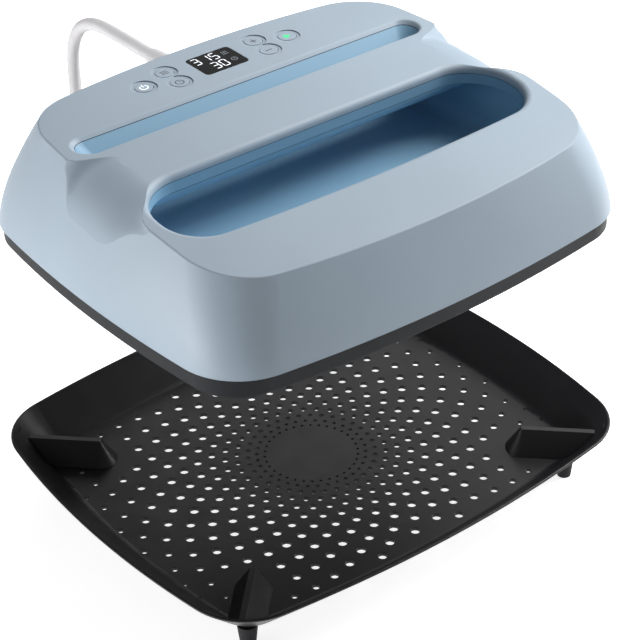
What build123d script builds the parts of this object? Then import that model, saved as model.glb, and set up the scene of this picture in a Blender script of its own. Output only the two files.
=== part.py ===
from build123d import *
import os
from math import atan, cos, pi, radians, sin, sqrt, tan

# A handheld heat press, lifted off the perforated base that it parks on.
# Millimetres, +Z up, origin on the table under the middle of the base.
# The long front side of the press faces -Y, its control deck and cord are at +Y.

os.makedirs("parts", exist_ok=True)

# Fits
flat_gap = 0.2  # between flat faces that move past each other
move_gap = 0.3  # between curved faces of pieces that move
bore_gap = 0.05  # a screw or pin in its hole, on the radius
seat_gap = 0.1  # between still pieces that are laid in place

# Base: a bowed, rounded tray with leaning walls
tray_half_x = 175.0
tray_half_y = 148.0
tray_bow_x = 14.2
tray_bow_y = 14.4
tray_corner = 45.4
tray_wall = 2.4
tray_depth = 24.3  # from the rim down to the top of the floor
tray_lean = 44.0  # degrees
tray_bend = 9.0  # outside radius where the wall meets the floor
rim_round = 0.9
foot_drop = 21.0  # top of the floor above the table

# Air holes in the floor: rings of holes, each ring turned by half a pitch
holes_per_ring = 34
ring_count = 17
first_ring = 31.2
ring_step_min = 5.2
ring_step_max = 10.3
hole_min = 1.8
hole_max = 6.2
hole_swell = 1.2  # how fast the holes grow towards the middle rings
holes_half_x = 152.0
holes_half_y = 116.0
hole_margin = 2.0  # kept clear round each dock

# Docks: four ridges that carry the hot plate's corners
dock_reach_x = 53.0  # from the rim in to the dock's centre
dock_reach_y = 53.0
dock_height = 15.8
dock_base = 24.0
dock_draft = 32.3  # degrees
dock_end_round = 11.0
dock_inner = 25.0  # base's inner end, from the dock's centre
dock_outer = 70.0
stop_height = 21.8  # the raised stop behind the ledge
stop_half = 4.5
stop_run = 4.0
stop_clear = 0.8
foot_out = 15.0  # foot's axis along the dock
foot_top_radius = 6.6
foot_tip_radius = 4.6
foot_bore = 1.7
screw_radius = 1.6
screw_head_radius = 2.9
screw_head = 2.4
foot_screw_up = 9.0  # thread in the dock
foot_counterbore = 6.0

# Press: hot plate and skirt
skirt_half_x = 160.0
skirt_half_y = 136.6
skirt_bow_x = 9.2
skirt_bow_y = 12.7
skirt_corner = 34.0
skirt_wall = 2.6
skirt_height = 12.2
skirt_round = 1.6
plate_side_gap = 3.0
plate_thick = 8.0
plate_proud = 1.5
plate_round = 1.2
plate_screw_depth = 6.0
lift_travel = 158.0  # from the docks up to the photographed height

# Shell of the press
shadow_gap = 1.0  # groove between the skirt and the shell
shell_overhang_x = 2.8
shell_overhang_y = 3.4
shell_corner = 43.0
shell_wall = 3.0
shell_lean_side = 23.6  # inset of the wall at the shell's reference height
shell_lean_end = 28.6
shell_rise = 74.8  # reference height above the shell's lower edge
shell_power = 1.42
shell_levels = 5
shell_over = 1.1  # the walls run on past the deck before it is cut
crown_radius = 1333.0
crown_apex_y = 99.5
crown_apex = 82.2  # above the skirt's lower edge
crease_round = 1.0
tongue_gap = 0.4
tongue_rise = 8.3
tongue_wall = 2.2
web_thick = 2.2
web_reach = 12.0
skirt_screw_in = 10.3  # screws stand this far inside the skirt's sides
skirt_screw_y = 40.0  # along its short sides
skirt_screw_x = 60.0  # along its long sides
skirt_screw_bow = 1.8  # and this much further in where the long sides bow

# Handle, front recess and rear slot
recess_end = 10.3  # from the deck's edge in to the recess
recess_front = -72.0
recess_bow = 5.0  # its front edge bows out by this much
handle_front = -8.0
handle_rear = 38.0
slot_rear = 59.0
slot_end = 11.0
slot_lean = 9.5  # how far the slot's rear wall leans in
slot_lean_depth = 10.0  # over this depth
recess_front_corner = 26.0
recess_rear_corner = 32.0
rim_soft = 4.0  # soft edge round the recess
slot_soft = 2.0
collar_thick = 8.5
collar_depth = 12.0
handle_depth = 23.0  # from the deck down to the grip's underside
grip_round = 10.0
grip_wall = 2.4
grip_seam = 0.4
grip_rib = 1.6
grip_rib_rise = 5.0
grip_rib_half = 104.0
liner_floor = 30.0
liner_draft = 5.0
liner_bend = 9.0
liner_wall = 2.0
liner_spread = 0.6
liner_corner = 18.0
trim_screw_head = 2.6
trim_screw_up = 7.0
trim_reach = 5.4  # screws' distance outside the wells
trim_x = 90.0
trim_side_y = -50.0
trim_sink = 0.4  # heads hang this far under the sloping flange
saddle_reach = 27.5  # from the deck's edge in to where the handle's top rounds down
saddle_fall = 30.0  # how far down the side the rounding reaches, beside the handle
crease_fall = 6.0  # the same at the decks
saddle_proud = 0.12  # the rounding ends this much outside the wall
saddle_front = -54.0  # where it begins, and over what length it comes in
saddle_front_fade = 48.0
saddle_rear = 41.0
saddle_rear_fade = 17.0
saddle_front_steps = 5
saddle_rear_steps = 4

# Control deck
window_x = 33.0
window_y = 25.5
window_corner = 3.0
window_thick = 2.0
window_gap = 0.15
window_lip = 1.5
deck_y = 86.5
button_radius = 5.9
button_proud = 0.2
button_flange_reach = 1.1
button_flange_thick = 1.2
button_stem = 2.0
button_travel = 0.6
dish_radius = 8.4
dish_depth = 0.6
outer_button_x = 55.5
inner_button_x = 34.5
inner_button_dy = 8.25

# Boards and inner parts
board_x = 148.0
board_y = 36.0
board_post_x = 70.0
board_post_y = 15.0
board_thick = 1.6
board_drop = 11.6  # board's top below the deck's skin
board_post = 3.0
board_screw = 1.3
board_screw_head = 2.2
board_screw_up = 6.0
switch_size = 6.0
switch_body = 3.5
switch_height = 4.6
plunger_radius = 1.75
display_x = 36.0
display_y = 27.0
frame_thick = 3.0
frame_gap = 3.4
element_radius = 3.25
element_bend = 8.0
element_half_x = 124.0
element_half_y = 92.0
element_inner_x = 44.0
element_inner_front = -40.0
element_inner_rear = 60.0
terminal_x = 14.0
terminal_y = 110.0
terminal_rise = 12.0  # above the frame
pad_half_x = 128.0
pad_half_y = 100.0
pad_corner = 20.0
insulation_thick = 4.0
shield_thick = 0.8
press_pad = 6.0
press_pad_x = 94.0
post_radius = 5.0
post_side_x = 136.0
post_side_y = 60.0
post_front_y = -114.0
post_rear_x = 70.0
post_rear_y = 112.0
plate_screw = 2.0
plate_screw_head = 3.6
shell_post = 4.0
shell_post_front = (122.0, -96.0)
shell_post_rear = (118.0, 92.0)
shell_screw_up = 10.0
power_x = 118.0
power_y = 42.0
power_rise = 5.0
power_middle_y = 82.0
power_post_x = 54.0
power_post_y = 16.0

transformer_at = (-32.0, 82.0)
transformer_size = (34.0, 28.0, 24.0)
transformer_soft = 2.0
relay_at = (34.0, 74.0)
relay_size = (20.0, 16.0, 16.0)
fuse_at = (8.0, 68.0)
fuse_size = (22.0, 7.0, 8.0)
terminals_x = 10.0
terminals_y = 96.0
terminals_high = 11.0
terminals_size = (36.0, 10.0, terminals_high)
moulded_soft = 0.5
fuse_soft = 1.0
sensor_at = (42.0, 110.0)
sensor_size = (14.0, 8.0, 4.0)
cutout_at = (-42.0, 110.0)
cutout_radius = 8.0
cutout_height = 6.0
buzzer_at = (52.0, 92.0)
buzzer_radius = 6.0
buzzer_height = 7.0

# Cord
cord_radius = 4.5
bend_share = 0.45  # of the shorter run that a bend may take up
exit_rise = 58.0  # cord's axis above the skirt's lower edge
cord_inner_y = 100.0
clamp_y = 109.0
clamp_x = 15.0
clamp_boss = 4.0
clamp_thick = 4.0
clamp_width = 7.6
collar_front_y = 114.0
boot_inner_y = 118.0
boot_neck_y = 128.0
boot_end_y = 160.0
boot_root_radius = 8.0
boot_tip_radius = 5.6
boot_collar = 9.6
floor_clear = 0.1
bend_drop = 45.5  # height taken by the bends over and under the hanging stretch
corner_y = 263.0
sway_high = (1.5, 266.0, -100.0)  # the third number counts from the cord's axis at the exit
sway_low = (0.5, 267.0, -150.5)
landing = (4.0, 272.0)
turn_x = 84.0  # where the floor stretch turns to meet the coil
coil_x = 150.0
coil_y = 227.6
coil_outer = 57.4
coil_step = 6.0  # how much nearer the middle each half turn comes
coil_half_turns = 4
coil_layer = 10.0
coil_points = 400  # where the coil's gap to itself is measured
plug_run = 48.0
plug_neck = 12.0
plug_neck_radius = 7.0
plug_length = 24.0
plug_half_y = 13.5
plug_round = 6.0
blade_length = 17.0
blade_spread = 6.35
blade_rise = 3.5
blade_thick = 1.6
blade_high = 6.4
earth_length = 20.0
earth_drop = 8.4
earth_radius = 2.4
lead_radius = 1.4
lead_pitch = 3.0
lead_bend = 2.0
ribbon_half = 6.0
ribbon_thick = 0.9
ribbon_slack = 5.0

# Levels
table = 0.0
floor_top = foot_drop
rim_top = floor_top + tray_depth
ledge_top = floor_top + dock_height
plate_bottom = ledge_top + flat_gap + lift_travel
skirt_bottom = plate_bottom + plate_proud
skirt_top = skirt_bottom + skirt_height
shell_bottom = skirt_top + shadow_gap
plate_top = plate_bottom + plate_thick
web_top = skirt_top + tongue_rise
frame_top = web_top + frame_thick
element_axis = plate_top + element_radius + bore_gap
pad_bottom = element_axis + element_radius + seat_gap
pad_top = pad_bottom + insulation_thick
shield_top = pad_top + shield_thick
shell_half_x = skirt_half_x + shell_overhang_x
shell_half_y = skirt_half_y + shell_overhang_y
far = 400.0


def bowed_outline(half_x, half_y, bow_x, bow_y, corner):
    # A rectangle whose four sides bow outward and whose corners are rounded
    tip_x, tip_y = half_x - bow_x, half_y - bow_y
    with BuildSketch() as outline:
        with BuildLine():
            ThreePointArc((tip_x, -tip_y), (half_x, 0), (tip_x, tip_y))
            ThreePointArc((tip_x, tip_y), (0, half_y), (-tip_x, tip_y))
            ThreePointArc((-tip_x, tip_y), (-half_x, 0), (-tip_x, -tip_y))
            ThreePointArc((-tip_x, -tip_y), (0, -half_y), (tip_x, -tip_y))
        make_face()
        fillet(outline.vertices(), corner)
    return outline.sketch


def tray_outline(inset):
    return bowed_outline(
        tray_half_x - inset, tray_half_y - inset, tray_bow_x, tray_bow_y, tray_corner - inset
    )


def skirt_outline(inset):
    return bowed_outline(
        skirt_half_x - inset, skirt_half_y - inset, skirt_bow_x, skirt_bow_y, skirt_corner - inset
    )


def shell_outline(inset, level):
    # The shell's section at a level above its lower edge, where the walls have leaned in
    share = (level / shell_rise) ** shell_power
    side = shell_half_x - inset - shell_lean_side * share
    end = shell_half_y - inset - shell_lean_end * share
    return bowed_outline(side, end, skirt_bow_x, skirt_bow_y, shell_corner - inset)


def shell_body(inset):
    # Everything inside the shell's walls, from its lower edge to above the deck
    with BuildPart() as body:
        for step in range(shell_levels):
            level = shell_over * shell_rise * step / (shell_levels - 1)
            with BuildSketch(Plane.XY.offset(shell_bottom + level)):
                add(shell_outline(inset, level))
        loft()
    return body.part


def crown_at(y):
    # Height of the crowned deck at a place between front and rear
    reach = y - crown_apex_y
    return skirt_bottom + crown_apex - crown_radius + sqrt(crown_radius**2 - reach**2)


def wall_at(y, level):
    # Where the side wall stands beside a place, at a level above the shell's lower edge
    share = (level / shell_rise) ** shell_power
    tip = shell_half_y - shell_lean_end * share - skirt_bow_y
    radius = (tip**2 + skirt_bow_x**2) / (2 * skirt_bow_x)
    return shell_half_x - shell_lean_side * share - radius + sqrt(radius**2 - y**2)


def wall_lean(level):
    # The side wall's lean at a level, in radians from the vertical
    rate = shell_lean_side * shell_power / shell_rise
    return atan(rate * (level / shell_rise) ** (shell_power - 1))


crease_x = wall_at(0, crown_at(0) - shell_bottom)
recess_half_x = crease_x - recess_end
slot_half_x = crease_x - slot_end


def below_crown(drop, half_x=far / 2, front=-far / 2, rear=far / 2):
    # Everything under the deck, lowered by a drop
    base = skirt_bottom - skirt_height
    with BuildPart() as block:
        with BuildSketch(Plane.YZ.offset(-half_x)):
            with BuildLine():
                middle = (front + rear) / 2
                ThreePointArc(
                    (front, crown_at(front) - drop),
                    (middle, crown_at(middle) - drop),
                    (rear, crown_at(rear) - drop),
                )
                Polyline(
                    (rear, crown_at(rear) - drop), (rear, base), (front, base),
                    (front, crown_at(front) - drop),
                )
            make_face()
        extrude(amount=2 * half_x)
    return block.part


def recess_outline(grow):
    with BuildSketch() as outline:
        with BuildLine():
            side = recess_front + recess_bow
            ThreePointArc((-recess_half_x, side), (0, recess_front), (recess_half_x, side))
            Polyline(
                (recess_half_x, side), (recess_half_x, handle_front),
                (-recess_half_x, handle_front), (-recess_half_x, side),
            )
        make_face()
        fillet(outline.vertices().group_by(Axis.Y)[0], recess_front_corner)
        fillet(outline.vertices().group_by(Axis.Y)[-1], recess_rear_corner)
        if grow:
            offset(amount=grow)
    return outline.sketch


def slot_outline(grow, lean=0):
    # The slot's plan, its rear wall and ends leaned in by some amount
    front = handle_rear - grow
    rear = slot_rear - lean + grow
    with BuildSketch() as outline:
        with Locations((0, (front + rear) / 2)):
            SlotOverall(2 * (slot_half_x - lean + grow), rear - front)
    return outline.sketch


def corner_places(x, y):
    return [(x, y), (-x, y), (-x, -y), (x, -y)]


# Base tray
def tray_bowl(inset, depth, bend):
    with BuildPart() as bowl:
        with BuildSketch(Plane.XY.offset(rim_top)):
            add(tray_outline(inset))
        extrude(amount=-depth, taper=tray_lean)
        fillet(bowl.edges().group_by(Axis.Z)[0], bend)
    return bowl.part


tray_outside = tray_bowl(0, tray_depth + tray_wall, tray_bend)
tray_inside = tray_bowl(tray_wall, tray_depth, tray_bend - tray_wall)

dock_x = tray_half_x - dock_reach_x
dock_y = tray_half_y - dock_reach_y
foot_x = dock_x + foot_out / sqrt(2)
foot_y = dock_y + foot_out / sqrt(2)
foot_places = corner_places(foot_x, foot_y)


def hole_size(ring):
    return hole_min + (hole_max - hole_min) * sin(pi * ring / (ring_count - 1)) ** hole_swell


def hole_is_clear(x, y, radius):
    along = (abs(x) - dock_x + abs(y) - dock_y) / sqrt(2)
    across = abs(abs(x) - dock_x - abs(y) + dock_y) / sqrt(2)
    keep = radius + hole_margin
    beside_dock = along > -dock_inner - keep and across < dock_base / 2 + keep
    return abs(x) < holes_half_x and abs(y) < holes_half_y and not beside_dock


def ring_holes(ring, ring_radius):
    # The places of one ring's holes that miss the walls and the docks
    places = []
    for number in range(holes_per_ring):
        turn = radians(360 / holes_per_ring * (number + 0.5 * (ring % 2)))
        x, y = ring_radius * cos(turn), ring_radius * sin(turn)
        if hole_is_clear(x, y, hole_size(ring) / 2):
            places.append((x, y))
    return places


with BuildPart() as base_tray:
    add(tray_outside)
    fillet(base_tray.edges().group_by(Axis.Z)[-1], rim_round)
    add(tray_inside, mode=Mode.SUBTRACT)
    ring_radius = first_ring
    for ring in range(ring_count):
        with BuildSketch(Plane.XY.offset(floor_top)):
            with Locations(*ring_holes(ring, ring_radius)):
                Circle(hole_size(ring) / 2)
        extrude(amount=-tray_wall, mode=Mode.SUBTRACT)
        swell = sin(pi * ring / (ring_count - 1))
        ring_radius += ring_step_min + (ring_step_max - ring_step_min) * swell
    with BuildSketch(Plane.XY.offset(table)):
        with Locations(*foot_places):
            Circle(foot_bore)
    extrude(amount=rim_top, mode=Mode.SUBTRACT)
base_tray.part.label = "base_tray"
export_step(base_tray.part, "parts/base_tray.step")


# Docks and feet, one at each corner
def dock(sign_x, sign_y):
    heading = 45 if sign_x * sign_y > 0 else -45
    heading += 0 if sign_x > 0 else 180
    middle = (sign_x * dock_x, sign_y * dock_y, floor_top)
    place = Plane(origin=middle).rotated((0, 0, heading))
    wedge = Plane(origin=place.origin, x_dir=place.x_dir, z_dir=-place.y_dir)
    with BuildPart() as ridge:
        with BuildSketch(place):
            with Locations(((dock_outer - dock_inner) / 2, 0)):
                RectangleRounded(dock_outer + dock_inner, dock_base, dock_end_round)
        extrude(amount=dock_height, taper=dock_draft)
        with BuildSketch(wedge):
            with BuildLine():
                Polyline(
                    (stop_out, 0), (stop_out, dock_height),
                    (stop_out + stop_run, stop_height), (dock_outer, stop_height),
                    (dock_outer, 0), close=True,
                )
            make_face()
        extrude(amount=stop_half, both=True)
        add(tray_inside, mode=Mode.INTERSECT)
        with BuildSketch(Plane.XY.offset(floor_top)):
            with Locations((sign_x * foot_x, sign_y * foot_y)):
                Circle(screw_radius + bore_gap)
        extrude(amount=foot_screw_up + bore_gap, mode=Mode.SUBTRACT)
    return ridge


# The stop stands just past the skirt's corner
corner_middle_x = skirt_half_x - skirt_corner - skirt_bow_x / 2
corner_middle_y = skirt_half_y - skirt_corner - skirt_bow_y / 2
skirt_reach = (corner_middle_x - dock_x + corner_middle_y - dock_y) / sqrt(2) + skirt_corner
stop_out = skirt_reach + stop_clear

corner_names = {
    "rear_right": (1, 1), "rear_left": (-1, 1), "front_left": (-1, -1), "front_right": (1, -1),
}
for corner_name, (sign_x, sign_y) in corner_names.items():
    ridge = dock(sign_x, sign_y)
    ridge.part.label = "dock_" + corner_name
    export_step(ridge.part, "parts/dock_" + corner_name + ".step")

    foot_height = foot_drop - tray_wall
    with BuildPart() as foot:
        with BuildSketch(Plane.XY.offset(foot_height)):
            with Locations((sign_x * foot_x, sign_y * foot_y)):
                Circle(foot_top_radius)
        with BuildSketch(Plane.XY.offset(table)):
            with Locations((sign_x * foot_x, sign_y * foot_y)):
                Circle(foot_tip_radius)
        loft(ruled=True)
        with BuildSketch(Plane.XY.offset(table)):
            with Locations((sign_x * foot_x, sign_y * foot_y)):
                Circle(screw_radius + bore_gap)
        extrude(amount=foot_height, mode=Mode.SUBTRACT)
        with BuildSketch(Plane.XY.offset(table)):
            with Locations((sign_x * foot_x, sign_y * foot_y)):
                Circle(screw_head_radius + bore_gap)
        extrude(amount=foot_counterbore, mode=Mode.SUBTRACT)
    foot.part.label = "foot_" + corner_name
    export_step(foot.part, "parts/foot_" + corner_name + ".step")

with BuildPart() as foot_screws:
    with BuildSketch(Plane.XY.offset(foot_counterbore)):
        with Locations(*foot_places):
            Circle(screw_radius)
    extrude(amount=foot_drop + foot_screw_up - foot_counterbore)
    with BuildSketch(Plane.XY.offset(foot_counterbore)):
        with Locations(*foot_places):
            Circle(screw_head_radius)
    extrude(amount=-screw_head)
foot_screws.part.label = "foot_screws"
export_step(foot_screws.part, "parts/foot_screws.step")


# Hot plate, with a blind hole for each post's screw
post_places = corner_places(post_side_x, post_side_y)
post_places += [(0, post_front_y), (post_rear_x, post_rear_y), (-post_rear_x, post_rear_y)]

with BuildPart() as heat_plate:
    with BuildSketch(Plane.XY.offset(plate_bottom)):
        add(skirt_outline(skirt_wall + plate_side_gap))
    extrude(amount=plate_thick)
    fillet(heat_plate.edges().group_by(Axis.Z)[0], plate_round)
    with BuildSketch(Plane.XY.offset(plate_top)):
        with Locations(*post_places):
            Circle(plate_screw + bore_gap)
    extrude(amount=-plate_screw_depth, mode=Mode.SUBTRACT)
heat_plate.part.label = "heat_plate"
export_step(heat_plate.part, "parts/heat_plate.step")


# Skirt: the dark lower ring, with a tongue that stands inside the shell
def tongue_outline(inset):
    return shell_outline(shell_wall + tongue_gap + inset, web_top - shell_bottom)


skirt_screws_at = corner_places(skirt_half_x - skirt_screw_in, skirt_screw_y)
skirt_screws_at += corner_places(skirt_screw_x, skirt_half_y - skirt_screw_in - skirt_screw_bow)

with BuildPart() as skirt_ring:
    with BuildSketch(Plane.XY.offset(skirt_bottom)):
        add(skirt_outline(0))
    extrude(amount=skirt_height)
    fillet(skirt_ring.edges().group_by(Axis.Z)[0], skirt_round)
    with BuildSketch(Plane.XY.offset(skirt_top)):
        add(tongue_outline(0))
    extrude(amount=tongue_rise)
    with BuildSketch(Plane.XY.offset(skirt_bottom)):
        add(skirt_outline(skirt_wall))
    extrude(amount=skirt_height - web_thick, mode=Mode.SUBTRACT)
    with BuildSketch(Plane.XY.offset(skirt_top - web_thick)):
        add(tongue_outline(tongue_wall))
    extrude(amount=tongue_rise, mode=Mode.SUBTRACT)
    with BuildSketch(Plane.XY.offset(web_top - web_thick)):
        add(skirt_outline(skirt_wall + web_reach))
    extrude(amount=web_thick, mode=Mode.SUBTRACT)
    with BuildSketch(Plane.XY.offset(web_top)):
        with Locations(*skirt_screws_at):
            Circle(screw_radius + bore_gap)
    extrude(amount=-web_thick, mode=Mode.SUBTRACT)
skirt_ring.part.label = "skirt_ring"
export_step(skirt_ring.part, "parts/skirt_ring.step")


# Upper shell: decks, side walls and the top of the handle
def saddle_section(y, share, inset):
    # What is cut off the side at one place: from the deck round to the wall
    deck = crown_at(y) - inset
    crease = wall_at(y, deck - shell_bottom)
    fall = crease_fall + (saddle_fall - crease_fall) * share
    level = deck - fall - shell_bottom
    start = crease + saddle_proud - inset - (saddle_reach + saddle_proud) * share
    side = wall_at(y, level) + saddle_proud - inset
    steep = wall_lean(level)
    flat = wall_lean(deck - shell_bottom) + (pi / 2 - wall_lean(deck - shell_bottom)) * share
    with BuildSketch(Plane.XZ.offset(-y)) as section:
        with BuildLine():
            Spline(
                (start, deck), (side, deck - fall),
                tangents=[(sin(flat), -cos(flat)), (sin(steep), -cos(steep))],
            )
            Polyline(
                (side, deck - fall), (far / 2, deck - fall), (far / 2, deck + fall),
                (start, deck + fall), (start, deck),
            )
        make_face()
    return section.sketch


def saddle_share(y):
    # 0 at the decks, 1 along the handle, and smooth between
    front = min((y - saddle_front) / saddle_front_fade, 1)
    rear = min((saddle_rear - y) / saddle_rear_fade, 1)
    return (front**2 * (3 - 2 * front)) ** 2 * rear**2 * (3 - 2 * rear)


def saddle(inset):
    full = saddle_front + saddle_front_fade
    ease = saddle_rear - saddle_rear_fade
    stations = [
        saddle_front + saddle_front_fade * number / saddle_front_steps
        for number in range(saddle_front_steps + 1)
    ]
    stations += [(full + ease) / 2]
    stations += [
        ease + saddle_rear_fade * number / saddle_rear_steps
        for number in range(saddle_rear_steps + 1)
    ]
    with BuildPart() as block:
        for y in stations:
            add(saddle_section(y, saddle_share(y), inset))
        loft()
        mirror(about=Plane.YZ)
    return block.part


above_deck = Plane.XY.offset(skirt_bottom + crown_apex + shell_wall)
deck_top = crown_at(deck_y)
exit_level = skirt_bottom + exit_rise
shell_posts = [
    (side * x, y) for x, y in (shell_post_rear, shell_post_front) for side in (1, -1)
]
board_posts = [
    (x, deck_y + y) for x in (-board_post_x, board_post_x) for y in (-board_post_y, board_post_y)
]
button_places = {
    "button_power": (-outer_button_x, deck_y),
    "button_menu": (-inner_button_x, deck_y + inner_button_dy),
    "button_timer": (-inner_button_x, deck_y - inner_button_dy),
    "button_plus": (inner_button_x, deck_y + inner_button_dy),
    "button_minus": (inner_button_x, deck_y - inner_button_dy),
    "button_start": (outer_button_x, deck_y),
}


def rounded_window(grow):
    with BuildSketch() as outline:
        with Locations((0, deck_y)):
            RectangleRounded(window_x + 2 * grow, window_y + 2 * grow, window_corner + grow)
    return outline.sketch


# The wells drop from the deck to the level of the liner's floor
lean_top = crown_at(slot_rear)
lean_over = above_deck.origin.Z - lean_top

with BuildPart() as wells:
    with BuildSketch(above_deck):
        add(slot_outline(0, -slot_lean / slot_lean_depth * lean_over))
    with BuildSketch(Plane.XY.offset(lean_top - slot_lean_depth)):
        add(slot_outline(0, slot_lean))
    loft(ruled=True)
    with BuildSketch(Plane.XY.offset(lean_top - slot_lean_depth)):
        add(slot_outline(0, slot_lean))
    extrude(amount=-crown_apex)
    with BuildSketch(above_deck):
        add(recess_outline(0))
    extrude(amount=-crown_apex)

with BuildPart() as collars:
    with BuildSketch(above_deck):
        add(recess_outline(collar_thick))
        add(slot_outline(collar_thick))
    extrude(amount=-crown_apex)
    add(below_crown(collar_depth), mode=Mode.SUBTRACT)

with BuildPart() as shell_hollow:
    add(shell_body(shell_wall))
    add(below_crown(shell_wall), mode=Mode.INTERSECT)
    add(saddle(shell_wall), mode=Mode.SUBTRACT)
    add(collars, mode=Mode.SUBTRACT)

# Posts down to the frame, the board and the cord clamp, cut off inside the deck
trim_places = [(x, recess_front - trim_reach) for x in (-trim_x, trim_x)]
trim_places += [(x, slot_rear + trim_reach) for x in (-trim_x, trim_x)]
trim_places += [(side * (recess_half_x + trim_reach), trim_side_y) for side in (-1, 1)]
clamp_places = [(-clamp_x, clamp_y), (clamp_x, clamp_y)]
clamp_top = exit_level - cord_radius
board_top = deck_top - board_drop

with BuildPart() as shell_stems:
    with BuildSketch(Plane.XY.offset(frame_top)):
        with Locations(*shell_posts):
            Circle(shell_post)
    extrude(amount=crown_apex)
    with BuildSketch(Plane.XY.offset(board_top)):
        with Locations(*board_posts):
            Circle(board_post)
    extrude(amount=board_drop)
    with BuildSketch(Plane.XY.offset(clamp_top)):
        with Locations(*clamp_places):
            Circle(clamp_boss)
    extrude(amount=exit_rise)
    add(below_crown(shell_wall / 2), mode=Mode.INTERSECT)

with BuildPart() as deck_openings:
    with BuildSketch(above_deck):
        add(rounded_window(window_gap))
    extrude(amount=-board_drop)
    add(below_crown(window_thick), mode=Mode.SUBTRACT)
    with BuildSketch(above_deck):
        add(rounded_window(-window_lip))
        with Locations(*button_places.values()):
            Circle(button_radius + move_gap)
    extrude(amount=-board_drop)

with BuildPart() as dishes:
    with BuildSketch(above_deck):
        with Locations(*button_places.values()):
            Circle(dish_radius)
    extrude(amount=-board_drop)
    add(below_crown(dish_depth), mode=Mode.SUBTRACT)


def deck_face(body):
    return body.faces().filter_by(GeomType.CYLINDER).sort_by(SortBy.AREA)[-1]


with BuildPart() as upper_shell:
    add(shell_body(0))
    add(below_crown(0), mode=Mode.INTERSECT)
    fillet(deck_face(upper_shell).edges(), crease_round)
    add(wells, mode=Mode.SUBTRACT)
    fillet(deck_face(upper_shell).inner_wires().sort_by(Axis.Y)[0].edges(), rim_soft)
    fillet(deck_face(upper_shell).inner_wires().sort_by(Axis.Y)[-1].edges(), slot_soft)
    add(saddle(0), mode=Mode.SUBTRACT)
    add(shell_hollow, mode=Mode.SUBTRACT)
    add(shell_stems)
    add(deck_openings, mode=Mode.SUBTRACT)
    add(dishes, mode=Mode.SUBTRACT)
    with BuildSketch(Plane.XY.offset(frame_top)):
        with Locations(*shell_posts):
            Circle(screw_radius + bore_gap)
    extrude(amount=shell_screw_up + bore_gap, mode=Mode.SUBTRACT)
    with BuildSketch(Plane.XY.offset(board_top)):
        with Locations(*board_posts):
            Circle(board_screw + bore_gap)
    extrude(amount=board_screw_up + bore_gap, mode=Mode.SUBTRACT)
    with BuildSketch(Plane.XY.offset(clamp_top)):
        with Locations(*clamp_places):
            Circle(screw_radius + bore_gap)
    extrude(amount=shell_screw_up + bore_gap, mode=Mode.SUBTRACT)
    for place in trim_places:
        with BuildSketch(Plane.XY.offset(crown_at(place[1]) - collar_depth - shell_wall)):
            with Locations(place):
                Circle(screw_radius + bore_gap)
        extrude(amount=trim_screw_up + shell_wall + bore_gap, mode=Mode.SUBTRACT)
    with BuildSketch(Plane.XZ.offset(-clamp_y - clamp_width)):
        with Locations((0, exit_level)):
            Circle(boot_root_radius + seat_gap)
    extrude(amount=-boot_end_y, mode=Mode.SUBTRACT)
upper_shell.part.label = "upper_shell"
export_step(upper_shell.part, "parts/upper_shell.step")


# Liner: the bowl under the handle, hung from the shell's collars
def liner_space(grow, floor):
    # The bowl's space, from the collars down to a floor
    top = skirt_bottom + crown_apex - collar_depth
    half_x = recess_half_x + liner_spread + grow
    front = recess_front - liner_spread - grow
    rear = slot_rear - slot_lean + liner_spread + grow
    with BuildPart() as space:
        with BuildSketch(Plane.XY.offset(top)):
            with Locations((0, (front + rear) / 2)):
                RectangleRounded(2 * half_x, rear - front, liner_corner + grow)
        extrude(amount=floor - top, taper=liner_draft)
        fillet(space.edges().group_by(Axis.Z)[0], liner_bend + grow)
    return space.part


liner_inside = liner_space(0, skirt_bottom + liner_floor)
liner_outside = liner_space(liner_wall, skirt_bottom + liner_floor - liner_wall)

with BuildPart() as recess_liner:
    with BuildSketch(above_deck):
        with Locations((0, (recess_front + slot_rear) / 2)):
            RectangleRounded(
                2 * (recess_half_x + collar_thick), slot_rear - recess_front + 2 * collar_thick,
                liner_corner + collar_thick,
            )
    extrude(amount=-crown_apex)
    add(below_crown(collar_depth + liner_wall), mode=Mode.SUBTRACT)
    add(liner_outside)
    add(saddle(shell_wall + seat_gap), mode=Mode.SUBTRACT)
    add(shell_body(shell_wall + seat_gap), mode=Mode.INTERSECT)
    add(below_crown(collar_depth), mode=Mode.INTERSECT)
    add(liner_inside, mode=Mode.SUBTRACT)
    with BuildSketch(above_deck):
        with Locations(*trim_places):
            Circle(screw_radius + bore_gap)
    extrude(amount=-crown_apex, mode=Mode.SUBTRACT)
recess_liner.part.label = "recess_liner"
export_step(recess_liner.part, "parts/recess_liner.step")

with BuildPart() as trim_screws:
    for place in trim_places:
        seat = crown_at(place[1]) - collar_depth - liner_wall
        with BuildSketch(Plane.XY.offset(seat)):
            with Locations(place):
                Circle(screw_radius)
        extrude(amount=trim_screw_up)
        with BuildSketch(Plane.XY.offset(seat - trim_sink)):
            with Locations(place):
                Circle(trim_screw_head)
        extrude(amount=-screw_head)
        with BuildSketch(Plane.XY.offset(seat - trim_sink)):
            with Locations(place):
                Circle(screw_radius)
        extrude(amount=trim_sink)
trim_screws.part.label = "trim_screws"
export_step(trim_screws.part, "parts/trim_screws.step")


# Grip: the underside of the handle, clipped between the collars
handle_middle = (handle_front + handle_rear) / 2
grip_bottom = crown_at(handle_middle) - handle_depth


def grip_profile(inset):
    top = crown_at(handle_rear)
    bottom = grip_bottom + inset
    with BuildSketch() as profile:
        with BuildLine():
            Polyline(
                (handle_front + inset, top), (handle_front + inset, bottom),
                (handle_rear - inset, bottom), (handle_rear - inset, top), close=True,
            )
        make_face()
        fillet(profile.vertices().group_by(Axis.Y)[0], grip_round - inset)
    return profile.sketch


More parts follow.
